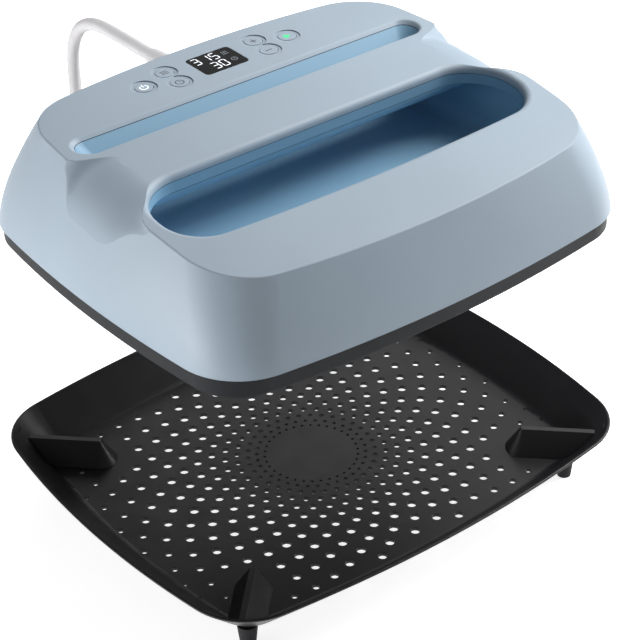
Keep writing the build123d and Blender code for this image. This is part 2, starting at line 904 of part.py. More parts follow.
with BuildPart() as handle_grip:
    with BuildSketch(Plane.YZ.offset(-recess_half_x)):
        add(grip_profile(0))
    extrude(amount=2 * recess_half_x)
    add(below_crown(collar_depth + grip_seam), mode=Mode.INTERSECT)
    with BuildSketch(Plane.YZ.offset(liner_corner - recess_half_x)):
        add(grip_profile(grip_wall))
    extrude(amount=2 * (recess_half_x - liner_corner), mode=Mode.SUBTRACT)
    for face_y in (handle_front + collar_thick + seat_gap, handle_rear - collar_thick - seat_gap):
        inward = grip_rib if face_y < handle_middle else -grip_rib
        with BuildSketch(Plane.XY.offset(grip_bottom + grip_wall / 2)):
            with Locations((0, face_y + inward / 2)):
                Rectangle(2 * grip_rib_half, grip_rib)
        extrude(amount=crown_at(face_y) - collar_depth + grip_rib_rise - grip_bottom - grip_wall / 2)
    add(liner_inside, mode=Mode.INTERSECT)
handle_grip.part.label = "handle_grip"
export_step(handle_grip.part, "parts/handle_grip.step")


# Frame on the skirt's web, with the plate's posts, pads and board posts
power_posts = [
    (x, power_middle_y + y) for x in (-power_post_x, power_post_x) for y in (-power_post_y, power_post_y)
]
terminal_places = [(-terminal_x, terminal_y), (terminal_x, terminal_y)]
press_pads = corner_places(press_pad_x, pad_half_y / 2)
power_bottom = frame_top + power_rise
power_top = power_bottom + board_thick

with BuildPart() as inner_frame:
    with BuildSketch(Plane.XY.offset(web_top)):
        add(skirt_outline(skirt_wall + frame_gap))
    extrude(amount=frame_thick)
    with BuildSketch(Plane.XY.offset(frame_top)):
        with Locations(*power_posts):
            Circle(board_post)
    extrude(amount=power_rise)
    with BuildSketch(Plane.XY.offset(shield_top)):
        with Locations(*press_pads):
            Circle(press_pad)
    extrude(amount=web_top - shield_top)
    with BuildSketch(Plane.XY.offset(web_top)):
        with Locations(*post_places):
            Circle(plate_screw + bore_gap)
        with Locations(*shell_posts, *skirt_screws_at):
            Circle(screw_radius + bore_gap)
        with Locations(*terminal_places):
            Circle(element_radius + move_gap)
        with Locations(*power_posts):
            Circle(board_screw + bore_gap)
    extrude(amount=frame_thick + power_rise, mode=Mode.SUBTRACT)
inner_frame.part.label = "inner_frame"
export_step(inner_frame.part, "parts/inner_frame.step")


def screws(name, places, seat, down, radius, head_radius, head):
    # A group of like screws on a level; they run down, or up where down is negative
    with BuildPart() as group:
        with BuildSketch(Plane.XY.offset(seat)):
            with Locations(*places):
                Circle(radius)
        extrude(amount=-down)
        with BuildSketch(Plane.XY.offset(seat)):
            with Locations(*places):
                Circle(head_radius)
        extrude(amount=head if down > 0 else -head)
    group.part.label = name
    export_step(group.part, "parts/" + name + ".step")


with BuildPart() as plate_spacers:
    with BuildSketch(Plane.XY.offset(plate_top)):
        with Locations(*post_places):
            Circle(post_radius)
        with Locations(*post_places):
            Circle(plate_screw + bore_gap, mode=Mode.SUBTRACT)
    extrude(amount=web_top - plate_top)
plate_spacers.part.label = "plate_spacers"
export_step(plate_spacers.part, "parts/plate_spacers.step")

with BuildPart() as insulation_pad:
    with BuildSketch(Plane.XY.offset(pad_bottom)):
        RectangleRounded(2 * pad_half_x, 2 * pad_half_y, pad_corner)
    extrude(amount=insulation_thick)
insulation_pad.part.label = "insulation_pad"
export_step(insulation_pad.part, "parts/insulation_pad.step")

with BuildPart() as heat_shield:
    with BuildSketch(Plane.XY.offset(pad_top)):
        RectangleRounded(2 * pad_half_x, 2 * pad_half_y, pad_corner)
    extrude(amount=shield_thick)
heat_shield.part.label = "heat_shield"
export_step(heat_shield.part, "parts/heat_shield.step")

with BuildPart() as heating_element:
    with BuildLine():
        FilletPolyline(
            (-terminal_x, terminal_y, frame_top + terminal_rise),
            (-terminal_x, terminal_y, element_axis),
            (-terminal_x, element_half_y, element_axis),
            (-element_half_x, element_half_y, element_axis),
            (-element_half_x, -element_half_y, element_axis),
            (element_half_x, -element_half_y, element_axis),
            (element_half_x, element_half_y, element_axis),
            (element_inner_x, element_half_y, element_axis),
            (element_inner_x, element_inner_front, element_axis),
            (-element_inner_x, element_inner_front, element_axis),
            (-element_inner_x, element_inner_rear, element_axis),
            (terminal_x, element_inner_rear, element_axis),
            (terminal_x, terminal_y, element_axis),
            (terminal_x, terminal_y, frame_top + terminal_rise),
            radius=element_bend,
        )
    with BuildSketch(Plane.XY.offset(frame_top + terminal_rise)):
        with Locations((-terminal_x, terminal_y)):
            Circle(element_radius)
    sweep()
heating_element.part.label = "heating_element"
export_step(heating_element.part, "parts/heating_element.step")

screws("plate_screws", post_places, frame_top, frame_top - plate_top + plate_screw_depth - seat_gap,
       plate_screw, plate_screw_head, screw_head)
screws("shell_screws", shell_posts, web_top, -frame_thick - shell_screw_up,
       screw_radius, screw_head_radius, screw_head)
screws("skirt_screws", skirt_screws_at, frame_top, frame_thick + web_thick,
       screw_radius, screw_head_radius, screw_head)
screws("clamp_screws", clamp_places, clamp_top - clamp_thick, -clamp_thick - shell_screw_up,
       screw_radius, screw_head_radius, screw_head)
screws("board_screws", board_posts, board_top - board_thick, -board_thick - board_screw_up,
       board_screw, board_screw_head, board_thick)
screws("power_board_screws", power_posts, power_top, board_thick + power_rise,
       board_screw, board_screw_head, board_thick)


# Control deck: window, display, buttons, switches and their board
with BuildPart() as display_window:
    with BuildSketch(above_deck):
        add(rounded_window(0))
    extrude(amount=-board_drop)
    add(below_crown(0), mode=Mode.INTERSECT)
    add(below_crown(window_thick), mode=Mode.SUBTRACT)
display_window.part.label = "display_window"
export_step(display_window.part, "parts/display_window.step")

flange_top = deck_top - shell_wall - move_gap
stem_bottom = board_top + switch_height + button_travel + flat_gap

for button_name, place in button_places.items():
    with BuildPart() as button:
        with BuildSketch(above_deck):
            with Locations(place):
                Circle(button_radius)
        extrude(amount=-board_drop)
        add(below_crown(dish_depth - button_proud), mode=Mode.INTERSECT)
        with BuildSketch(Plane.XY.offset(flange_top)):
            with Locations(place):
                Circle(button_radius + button_flange_reach)
        extrude(amount=-button_flange_thick)
        with BuildSketch(Plane.XY.offset(flange_top - button_flange_thick)):
            Rectangle(2 * far, 2 * far)
        extrude(amount=-board_drop, mode=Mode.SUBTRACT)
        with BuildSketch(Plane.XY.offset(flange_top - button_flange_thick)):
            with Locations(place):
                Circle(button_stem)
        extrude(amount=stem_bottom - flange_top + button_flange_thick)
    button.part.label = button_name
    export_step(button.part, "parts/" + button_name + ".step")

with BuildPart() as control_board:
    with BuildSketch(Plane.XY.offset(board_top)):
        with Locations((0, deck_y)):
            Rectangle(board_x, board_y)
        with Locations(*board_posts):
            Circle(board_screw + bore_gap, mode=Mode.SUBTRACT)
    extrude(amount=-board_thick)
control_board.part.label = "control_board"
export_step(control_board.part, "parts/control_board.step")

with BuildPart() as tact_switches:
    with BuildSketch(Plane.XY.offset(board_top)):
        with Locations(*button_places.values()):
            Rectangle(switch_size, switch_size)
    extrude(amount=switch_body)
    with BuildSketch(Plane.XY.offset(board_top + switch_body)):
        with Locations(*button_places.values()):
            Circle(plunger_radius)
    extrude(amount=switch_height - switch_body)
tact_switches.part.label = "tact_switches"
export_step(tact_switches.part, "parts/tact_switches.step")

with BuildPart() as display_module:
    with BuildSketch(Plane.XY.offset(board_top)):
        with Locations((0, deck_y)):
            Rectangle(display_x, display_y)
    extrude(amount=deck_top - shell_wall - move_gap - board_top)
display_module.part.label = "display_module"
export_step(display_module.part, "parts/display_module.step")


def block(name, place, bottom, size, soft):
    # A moulded component that stands on a board, with soft upright edges
    with BuildPart() as body:
        with BuildSketch(Plane.XY.offset(bottom)):
            with Locations(place):
                RectangleRounded(size[0], size[1], soft)
        extrude(amount=size[2])
    body.part.label = name
    export_step(body.part, "parts/" + name + ".step")


def can(name, place, bottom, radius, height):
    with BuildPart() as body:
        with BuildSketch(Plane.XY.offset(bottom)):
            with Locations(place):
                Circle(radius)
        extrude(amount=height)
    body.part.label = name
    export_step(body.part, "parts/" + name + ".step")


can("buzzer", buzzer_at, board_top - board_thick - buzzer_height, buzzer_radius, buzzer_height)

with BuildPart() as power_board:
    with BuildSketch(Plane.XY.offset(power_bottom)):
        with Locations((0, power_middle_y)):
            Rectangle(power_x, power_y)
        with Locations(*power_posts):
            Circle(board_screw + bore_gap, mode=Mode.SUBTRACT)
    extrude(amount=board_thick)
power_board.part.label = "power_board"
export_step(power_board.part, "parts/power_board.step")

block("transformer", transformer_at, power_top, transformer_size, transformer_soft)
block("relay", relay_at, power_top, relay_size, moulded_soft)
block("fuse", fuse_at, power_top, fuse_size, fuse_soft)
block("terminal_block", (terminals_x, terminals_y), power_top, terminals_size, moulded_soft)
can("thermal_cutout", cutout_at, plate_top, cutout_radius, cutout_height)
block("temperature_sensor", sensor_at, plate_top, sensor_size, fuse_soft)


# Wires inside: three from the cord, two to the element, one ribbon between the boards
terminals_top = power_top + terminals_high
terminal_top = frame_top + terminal_rise


def tube(points, radii, radius):
    # A round tube along straight runs joined by arcs
    with BuildPart() as body:
        with BuildLine() as route:
            FilletPolyline(*points, radius=radii)
        path = route.wire()
        with BuildSketch(Plane(origin=path @ 0, z_dir=path % 0)):
            Circle(radius)
        sweep(path=path)
    print("tube length", round(path.length, 1))
    return body.part


leads = [
    tube(
        [
            (x, cord_inner_y, exit_level),
            (x, terminals_y - lead_pitch, exit_level),
            (x, terminals_y - lead_pitch, terminals_top),
        ],
        lead_bend, lead_radius,
    )
    for x in (-lead_pitch, 0, lead_pitch)
]
with BuildPart() as mains_leads:
    add(leads)
mains_leads.part.label = "mains_leads"
export_step(mains_leads.part, "parts/mains_leads.step")

lead_ends = [(-terminal_x, 2 * terminals_x), (terminal_x, 2 * terminals_x + 2 * lead_pitch)]
leads = [
    tube(
        [
            (start_x, terminal_y, terminal_top),
            (start_x, terminal_y, terminals_top + lead_bend * 2),
            (end_x, terminals_y + lead_bend, terminals_top + lead_bend * 2),
            (end_x, terminals_y + lead_bend, terminals_top),
        ],
        lead_bend, lead_radius,
    )
    for start_x, end_x in lead_ends
]
with BuildPart() as heater_leads:
    add(leads)
heater_leads.part.label = "heater_leads"
export_step(heater_leads.part, "parts/heater_leads.step")

ribbon_foot = power_top
ribbon_head = board_top - board_thick
ribbon_middle = (ribbon_foot + ribbon_head) / 2
with BuildPart() as ribbon_cable:
    with BuildSketch(Plane.YZ.offset(terminals_x - ribbon_half)):
        with BuildLine():
            Spline(
                (power_middle_y, ribbon_foot), (power_middle_y - ribbon_slack, ribbon_middle),
                (power_middle_y, ribbon_head), tangents=[(0, 1), (0, 1)],
            )
        trace(line_width=ribbon_thick)
    extrude(amount=2 * ribbon_half)
ribbon_cable.part.label = "ribbon_cable"
export_step(ribbon_cable.part, "parts/ribbon_cable.step")


# Strain relief through the rear wall, and the clamp inside it
with BuildPart() as strain_relief:
    with BuildSketch(Plane.YZ):
        with BuildLine():
            Polyline(
                (collar_front_y, exit_level + cord_radius + bore_gap),
                (collar_front_y, exit_level + boot_collar),
                (boot_inner_y, exit_level + boot_collar),
                (boot_inner_y, exit_level + boot_root_radius),
                (boot_neck_y, exit_level + boot_root_radius),
                (boot_end_y, exit_level + boot_tip_radius),
                (boot_end_y, exit_level + cord_radius + bore_gap),
                close=True,
            )
        make_face()
    revolve(axis=Axis((0, 0, exit_level), (0, 1, 0)))
strain_relief.part.label = "strain_relief"
export_step(strain_relief.part, "parts/strain_relief.step")

with BuildPart() as cord_clamp:
    with BuildSketch(Plane.XY.offset(clamp_top)):
        with Locations((0, clamp_y)):
            Rectangle(2 * (clamp_x + clamp_boss), clamp_width)
        with Locations(*clamp_places):
            Circle(screw_radius + bore_gap, mode=Mode.SUBTRACT)
    extrude(amount=-clamp_thick)
cord_clamp.part.label = "cord_clamp"
export_step(cord_clamp.part, "parts/cord_clamp.step")


# Mains cord: straight out, down behind the press, along the table and into a coil
def between(first, last, level):
    # The point of a run at a level
    share = (first[2] - level) / (first[2] - last[2])
    return tuple(a + (b - a) * share for a, b in zip(first, last))


def bend_radius(before, corner, after):
    # As large as the shorter run allows
    first = Vector(*corner) - Vector(*before)
    last = Vector(*after) - Vector(*corner)
    return bend_share * min(first.length, last.length) / tan(radians(first.get_angle(last)) / 2)


cord_floor_level = cord_radius + floor_clear
cord_start = (0, cord_inner_y, exit_level)
cord_corner = (0, corner_y, exit_level)
cord_sway_high = (sway_high[0], sway_high[1], exit_level + sway_high[2])
cord_sway_low = (sway_low[0], sway_low[1], exit_level + sway_low[2])
cord_landing = (landing[0], landing[1], cord_floor_level)
cord_turn = (turn_x, coil_y + coil_outer, cord_floor_level)
coil_entry = (coil_x, coil_y + coil_outer, cord_floor_level)
drop_top = between(cord_corner, cord_sway_high, exit_level - bend_drop)
drop_bottom = between(cord_sway_low, cord_landing, cord_floor_level + bend_drop)
boot_tip = (0, boot_end_y, exit_level)

bend_radii = [
    bend_radius(boot_tip, cord_corner, cord_sway_high),
    bend_radius(cord_corner, cord_sway_high, cord_sway_low),
    bend_radius(cord_sway_high, cord_sway_low, cord_landing),
    bend_radius(cord_sway_low, cord_landing, cord_turn),
    bend_radius(cord_landing, cord_turn, coil_entry),
]
print("bend radii", [round(radius, 1) for radius in bend_radii])
stretches = {
    "cord_exit": tube([cord_start, cord_corner, drop_top], bend_radii[0], cord_radius),
    "cord_drop": tube(
        [drop_top, cord_sway_high, cord_sway_low, drop_bottom], bend_radii[1:3], cord_radius
    ),
    "cord_floor": tube(
        [drop_bottom, cord_landing, cord_turn, coil_entry], bend_radii[3:], cord_radius
    ),
}
for name, stretch in stretches.items():
    stretch.label = name
    export_step(stretch, "parts/" + name + ".step")


# The coil spirals in on the table, climbs a layer at its middle and spirals out again
def coil_reach(number):
    # Distance from the coil's middle after a number of half turns
    return coil_outer - coil_step * number


with BuildPart() as cord_coil:
    with BuildLine() as coil_line:
        top = 1
        for number in range(coil_half_turns):
            start, end = coil_reach(number), coil_reach(number + 1)
            side = (start + end) / 2
            middle = coil_y + top * (start - end) / 2
            ThreePointArc(
                (coil_x, coil_y + top * start, cord_floor_level),
                (coil_x + top * side, middle, cord_floor_level),
                (coil_x, coil_y - top * end, cord_floor_level),
            )
            top = -top
        inner = coil_reach(coil_half_turns)
        lift = cord_floor_level + coil_layer
        climb_reach = sqrt(inner**2 + coil_layer**2 / 4)
        ThreePointArc(
            (coil_x, coil_y + top * inner, cord_floor_level),
            (coil_x + top * climb_reach, coil_y, cord_floor_level + coil_layer / 2),
            (coil_x, coil_y - top * inner, lift),
        )
        top = -top
        for number in range(coil_half_turns, 0, -1):
            start, end = coil_reach(number), coil_reach(number - 1)
            side = (start + end) / 2
            middle = coil_y + top * (start - end) / 2
            ThreePointArc(
                (coil_x, coil_y + top * start, lift),
                (coil_x + top * side, middle, lift),
                (coil_x, coil_y - top * end, lift),
            )
            top = -top
        plug_y = coil_y + top * coil_reach(0)
        Line((coil_x, plug_y, lift), (coil_x - plug_run, plug_y, lift))
    coil_wire = coil_line.wire()
    with BuildSketch(Plane(origin=coil_wire @ 0, z_dir=coil_wire % 0)):
        Circle(cord_radius)
    sweep(path=coil_wire)
cord_coil.part.label = "cord_coil"
export_step(cord_coil.part, "parts/cord_coil.step")

coil_length = coil_wire.length
spots = [coil_wire @ (number / coil_points) for number in range(coil_points + 1)]
apart = int(2 * pi * cord_radius / coil_length * coil_points) + 1
least = min(
    (spots[i] - spots[j]).length
    for i in range(coil_points + 1) for j in range(i + apart, coil_points + 1)
)
print("coil length", round(coil_length, 1), "least gap", round(least - 2 * cord_radius, 2))

plug_x = coil_x - plug_run
plug_half_z = lift - floor_clear
with BuildPart() as plug_body:
    with BuildSketch(Plane.YZ.offset(plug_x)):
        with Locations((plug_y, lift)):
            Circle(plug_neck_radius)
    with BuildSketch(Plane.YZ.offset(plug_x - plug_neck)):
        with Locations((plug_y, lift)):
            RectangleRounded(2 * plug_half_y, 2 * plug_half_z, plug_round)
    loft()
    with BuildSketch(Plane.YZ.offset(plug_x - plug_neck)):
        with Locations((plug_y, lift)):
            RectangleRounded(2 * plug_half_y, 2 * plug_half_z, plug_round)
    extrude(amount=-plug_length)
plug_body.part.label = "plug_body"
export_step(plug_body.part, "parts/plug_body.step")

with BuildPart() as plug_blades:
    with BuildSketch(Plane.YZ.offset(plug_x - plug_neck - plug_length)):
        with Locations(*[(plug_y + side * blade_spread, lift + blade_rise) for side in (-1, 1)]):
            Rectangle(blade_thick, blade_high)
    extrude(amount=-blade_length)
    with BuildSketch(Plane.YZ.offset(plug_x - plug_neck - plug_length)):
        with Locations((plug_y, lift - earth_drop)):
            Circle(earth_radius)
    extrude(amount=-earth_length)
plug_blades.part.label = "plug_blades"
export_step(plug_blades.part, "parts/plug_blades.step")
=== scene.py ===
from math import cos, pi, radians, sin

import bpy
from mathutils import Matrix, Vector


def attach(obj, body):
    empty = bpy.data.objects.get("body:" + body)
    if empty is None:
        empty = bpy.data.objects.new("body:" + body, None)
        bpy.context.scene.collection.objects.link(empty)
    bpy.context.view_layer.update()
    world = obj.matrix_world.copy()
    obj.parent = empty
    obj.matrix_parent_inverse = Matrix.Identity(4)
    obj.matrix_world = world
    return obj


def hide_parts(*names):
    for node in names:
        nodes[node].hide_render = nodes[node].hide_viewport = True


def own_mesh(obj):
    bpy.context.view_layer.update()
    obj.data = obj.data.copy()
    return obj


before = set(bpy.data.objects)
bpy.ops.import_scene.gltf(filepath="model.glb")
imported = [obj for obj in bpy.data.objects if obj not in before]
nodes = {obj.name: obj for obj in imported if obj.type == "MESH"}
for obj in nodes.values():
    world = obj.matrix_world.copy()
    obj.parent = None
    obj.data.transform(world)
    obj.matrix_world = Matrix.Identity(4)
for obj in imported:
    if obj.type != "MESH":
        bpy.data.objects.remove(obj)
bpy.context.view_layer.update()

# Dressing for the handheld heat press, shown lifted off its perforated base
mm = 0.001

# The camera is placed first, because the cord is judged by what it sees
cameraView = {
    "azimuth": -37.51,  # degrees, from straight in front
    "elevation": 33.39,
    "roll": -1.47,
    "focal": 2041.2,  # in pixels, for a picture as wide as the next number
    "width": 622,
    "place": (-0.66252, -0.86654, 0.8462),
    "sensor": 36.0,
    "clipEnd": 20.0,
}


def makeCamera(view):
    turn, rise, tip = (radians(view[k]) for k in ("azimuth", "elevation", "roll"))
    back = Vector((sin(turn) * cos(rise), -cos(turn) * cos(rise), sin(rise)))
    flat = Vector((cos(turn), sin(turn), 0))
    over = back.cross(flat)
    right = flat * cos(tip) + over * sin(tip)
    up = over * cos(tip) - flat * sin(tip)
    lens = bpy.data.cameras.new("camera")
    lens.sensor_fit = "HORIZONTAL"
    lens.sensor_width = view["sensor"]
    lens.lens = view["focal"] / view["width"] * view["sensor"]
    lens.clip_end = view["clipEnd"]
    camera = bpy.data.objects.new("camera", lens)
    camera.matrix_world = Matrix((
        (right.x, up.x, back.x, view["place"][0]),
        (right.y, up.y, back.y, view["place"][1]),
        (right.z, up.z, back.z, view["place"][2]),
        (0, 0, 0, 1),
    ))
    bpy.context.collection.objects.link(camera)
    bpy.context.scene.camera = camera


makeCamera(cameraView)
print("camera placed")


def tint(red, green, blue):
    # A colour as a paint chart gives it, 0 to 255, as Blender wants it
    def one(value):
        value = value / 255
        return value / 12.92 if value <= 0.04045 else ((value + 0.055) / 1.055) ** 2.4
    return (one(red), one(green), one(blue), 1.0)


def shade(colour, factor):
    return tuple(min(1.0, c * factor) for c in colour[:3]) + (1.0,)


class Board:
    # A material's node board, with short ways to add and join nodes
    def __init__(self, name):
        self.material = bpy.data.materials.new(name)
        self.material.use_nodes = True
        self.tree = self.material.node_tree
        self.surface = self.tree.nodes["Principled BSDF"]
        self.spots = self.add("ShaderNodeTexCoord").outputs["Object"]

    def feed(self, socket, value):
        # A socket takes a plain value or the output of another node
        if hasattr(value, "node"):
            self.tree.links.new(value, socket)
        else:
            socket.default_value = value

    def add(self, kind, inputs=None, **settings):
        node = self.tree.nodes.new(kind)
        for key, value in settings.items():
            setattr(node, key, value)
        for key, value in (inputs or {}).items():
            self.feed(node.inputs[key], value)
        return node

    def noise(self, scale, detail=3.0, rough=0.5, spots=None):
        inputs = {"Scale": scale, "Detail": detail, "Roughness": rough, "Vector": spots or self.spots}
        return self.add("ShaderNodeTexNoise", inputs).outputs["Fac"]

    def stretch(self, scale):
        return self.add("ShaderNodeMapping", {"Scale": scale, "Vector": self.spots}).outputs["Vector"]

    def spread(self, value, low, high, fromLow=0.3, fromHigh=0.7):
        # Most of a noise lies between 0.3 and 0.7
        inputs = {"From Min": fromLow, "From Max": fromHigh, "To Min": low, "To Max": high}
        return self.add("ShaderNodeMapRange", {**inputs, "Value": value}).outputs["Result"]

    def blend(self, factor, first, second):
        # These three sockets are the ones that a mix of colours uses
        inputs = {0: factor, 6: first, 7: second}
        return self.add("ShaderNodeMix", inputs, data_type="RGBA").outputs[2]

    def wander(self, noise, first, second):
        return self.blend(self.spread(noise, 0.0, 1.0), first, second)

    def maths(self, operation, *values):
        return self.add("ShaderNodeMath", dict(enumerate(values)), operation=operation).outputs[0]

    def bump(self, height, depth, distance, under=None):
        inputs = {"Strength": depth, "Distance": distance, "Height": height}
        if under is not None:
            inputs["Normal"] = under
        return self.add("ShaderNodeBump", inputs).outputs["Normal"]

    def bevel(self, radius, samples=4):
        return self.add("ShaderNodeBevel", {"Radius": radius}, samples=samples).outputs["Normal"]

    def finish(self, inputs):
        for key, value in inputs.items():
            self.feed(self.surface.inputs[key], value)
        return self.material


# The deck's crown, in millimetres: level along x, and falling away from the line at apexY
crown = {"apexY": 99.5, "apex": 278.7, "radius": 1333.0}

# The recess and the slot are lined in the liner's blue below the shell's lip, with a seam between;
# places, depths and the seam's width are in millimetres
linerTint = tint(138, 180, 207)
liningLook = {
    "halfX": 133.7, "front": -72.8, "slotFront": 36.5, "rear": 59.6,
    "lip": 4.9, "slotLip": 2.2, "seamWide": 0.4,
    "lining": linerTint, "seam": tint(52, 78, 100),
}


def lineWells(board, colour, look):
    # Lays the liner's colour and the seam over the shell's own, by the depth under the deck
    x, y, z = board.add("ShaderNodeSeparateXYZ", {0: board.spots}).outputs
    reach = board.maths("SUBTRACT", y, crown["apexY"] * mm)
    fall = board.maths("DIVIDE", board.maths("MULTIPLY", reach, reach), 2 * crown["radius"] * mm)
    depth = board.maths("SUBTRACT", board.maths("SUBTRACT", crown["apex"] * mm, fall), z)
    inside = board.maths("LESS_THAN", board.maths("ABSOLUTE", x), look["halfX"] * mm)
    inside = board.maths("MULTIPLY", inside, board.maths("GREATER_THAN", y, look["front"] * mm))
    inside = board.maths("MULTIPLY", inside, board.maths("LESS_THAN", y, look["rear"] * mm))
    inSlot = board.maths("GREATER_THAN", y, look["slotFront"] * mm)
    drop = board.maths("MULTIPLY", inSlot, (look["slotLip"] - look["lip"]) * mm)
    under = board.maths("SUBTRACT", depth, board.maths("ADD", drop, look["lip"] * mm))
    lined = board.maths("MULTIPLY", inside, board.maths("GREATER_THAN", under, 0.0))
    seam = board.maths("MULTIPLY", lined, board.maths("LESS_THAN", under, look["seamWide"] * mm))
    return board.blend(seam, board.blend(lined, colour, look["lining"]), look["seam"])


# What every moulded plastic has in common; heights are in metres
mouldedLook = {
    "driftShades": (0.96, 1.04),  # the colour's darkest and palest shade
    "speckScale": 1.7,  # specks against grain
    "speckCut": (0.45, 0.75),  # the part of the noise that turns into specks
    "glossScale": 4,  # patches of gloss against drifts of colour
    "glossSteps": (-0.03, 0.04),  # added to the roughness
    "grainHeight": 0.0002,
    "coatRough": 0.25,
}


def mouldedPlastic(name, look, shared):
    # Moulded plastic: a slow drift of colour, a fine grain, uneven gloss and softened edges
    board = Board(name)
    dark, pale = (shade(look["colour"], factor) for factor in shared["driftShades"])
    speckNoise = board.noise(look["grain"] * shared["speckScale"], detail=4.0, rough=0.7)
    specks = board.spread(speckNoise, 0.0, look["speckle"], *shared["speckCut"])
    colour = board.wander(board.noise(look["drift"], detail=2.0), dark, pale)
    colour = board.blend(specks, colour, shade(look["colour"], look["speckShade"]))
    if look.get("lining"):
        colour = lineWells(board, colour, look["lining"])
    gloss = board.noise(look["drift"] * shared["glossScale"])
    under = board.bevel(look["edge"]) if look["edge"] else None
    grain = board.noise(look["grain"], detail=5.0, rough=0.6)
    return board.finish({
        "Base Color": colour,
        "Roughness": board.spread(gloss, *(look["rough"] + step for step in shared["glossSteps"])),
        "Normal": board.bump(grain, look["depth"], shared["grainHeight"], under),
        "Specular IOR Level": look["specular"],
        "Coat Weight": look["coat"],
        "Coat Roughness": shared["coatRough"],
    })


# Drift and grain are noise scales, edge is the softened edge's radius in metres
plasticLooks = {
    "shellBlue": {
        "colour": tint(172, 188, 202), "drift": 9.0, "grain": 1500.0, "speckle": 0.10,
        "speckShade": 0.9, "rough": 0.44, "depth": 0.10, "edge": 0.0006, "specular": 0.36, "coat": 0.02,
        "lining": liningLook,
    },
    "linerBlue": {
        "colour": linerTint, "drift": 11.0, "grain": 1500.0, "speckle": 0.10,
        "speckShade": 0.9, "rough": 0.44, "depth": 0.12, "edge": 0.0, "specular": 0.45, "coat": 0.0,
    },
    "trayCharcoal": {
        "colour": tint(24, 23, 26), "drift": 14.0, "grain": 900.0, "speckle": 0.18,
        "speckShade": 1.5, "rough": 0.36, "depth": 0.30, "edge": 0.0007, "specular": 0.36, "coat": 0.0,
    },
    "dockCharcoal": {
        "colour": tint(26, 25, 28), "drift": 18.0, "grain": 1200.0, "speckle": 0.12,
        "speckShade": 1.5, "rough": 0.34, "depth": 0.2, "edge": 0.0008, "specular": 0.5, "coat": 0.0,
    },
    "skirtGrey": {
        "colour": tint(26, 29, 33), "drift": 12.0, "grain": 1300.0, "speckle": 0.12,
        "speckShade": 1.4, "rough": 0.5, "depth": 0.15, "edge": 0.0006, "specular": 0.2, "coat": 0.0,
    },
    "footRubber": {
        "colour": tint(38, 38, 41), "drift": 30.0, "grain": 1100.0, "speckle": 0.2,
        "speckShade": 1.5, "rough": 0.7, "depth": 0.4, "edge": 0.0, "specular": 0.3, "coat": 0.0,
    },
    "cordGrey": {
        "colour": tint(228, 226, 228), "drift": 20.0, "grain": 1400.0, "speckle": 0.12,
        "speckShade": 0.9, "rough": 0.5, "depth": 0.12, "edge": 0.0, "specular": 0.4, "coat": 0.0,
    },
    "blackPlastic": {
        "colour": tint(28, 28, 30), "drift": 30.0, "grain": 1500.0, "speckle": 0.15,
        "speckShade": 1.6, "rough": 0.45, "depth": 0.2, "edge": 0.0, "specular": 0.45, "coat": 0.0,
    },
    "terminalGreen": {
        "colour": tint(38, 120, 80), "drift": 30.0, "grain": 1500.0, "speckle": 0.1,
        "speckShade": 0.8, "rough": 0.45, "depth": 0.2, "edge": 0.0, "specular": 0.45, "coat": 0.0,
    },
    "leadRed": {
        "colour": tint(165, 45, 38), "drift": 40.0, "grain": 1500.0, "speckle": 0.1,
        "speckShade": 0.8, "rough": 0.4, "depth": 0.1, "edge": 0.0, "specular": 0.45, "coat": 0.0,
    },
    "leadBlue": {
        "colour": tint(52, 82, 150), "drift": 40.0, "grain": 1500.0, "speckle": 0.1,
        "speckShade": 0.8, "rough": 0.4, "depth": 0.1, "edge": 0.0, "specular": 0.45, "coat": 0.0,
    },
    "frameGrey": {
        "colour": tint(120, 122, 126), "drift": 16.0, "grain": 1200.0, "speckle": 0.15,
        "speckShade": 0.8, "rough": 0.55, "depth": 0.25, "edge": 0.0, "specular": 0.4, "coat": 0.0,
    },
}

# What every metal has in common
brushedLook = {
    "lineShade": 0.85,
    "glossSteps": (-0.06, 0.1),  # added to the roughness
    "lineHeight": 0.0001,
}


def brushedMetal(name, look, shared):
    # Metal with fine lines along one direction and a few smudges
    board = Board(name)
    lines = board.noise(look["lines"], detail=4.0, rough=0.7, spots=board.stretch(look["along"]))
    smudge = board.noise(look["smudge"])
    return board.finish({
        "Base Color": board.wander(lines, shade(look["colour"], shared["lineShade"]), look["colour"]),
        "Metallic": look["metallic"],
        "Roughness": board.spread(smudge, *(look["rough"] + step for step in shared["glossSteps"])),
        "Normal": board.bump(lines, look["depth"], shared["lineHeight"]),
    })


metalLooks = {
    "screwSteel": {
        "colour": tint(170, 172, 176), "lines": 900.0, "along": (1, 1, 6), "smudge": 120.0,
        "metallic": 1.0, "rough": 0.34, "depth": 0.2,
    },
    "hotPlate": {
        "colour": tint(96, 98, 102), "lines": 240.0, "along": (0.06, 1.6, 1), "smudge": 14.0,
        "metallic": 0.85, "rough": 0.42, "depth": 0.12,
    },
    "elementSteel": {
        "colour": tint(150, 148, 144), "lines": 700.0, "along": (1, 1, 1), "smudge": 40.0,
        "metallic": 1.0, "rough": 0.45, "depth": 0.3,
    },
    "shieldMetal": {
        "colour": tint(190, 192, 196), "lines": 320.0, "along": (0.08, 1.5, 1), "smudge": 20.0,
        "metallic": 1.0, "rough": 0.3, "depth": 0.12,
    },
    "coreSteel": {
        "colour": tint(105, 100, 96), "lines": 1500.0, "along": (0.1, 0.1, 2.5), "smudge": 40.0,
        "metallic": 0.8, "rough": 0.5, "depth": 0.5,
    },
    "bladeBrass": {
        "colour": tint(205, 190, 150), "lines": 900.0, "along": (0.2, 1.5, 1.5), "smudge": 90.0,
        "metallic": 1.0, "rough": 0.28, "depth": 0.15,
    },
}

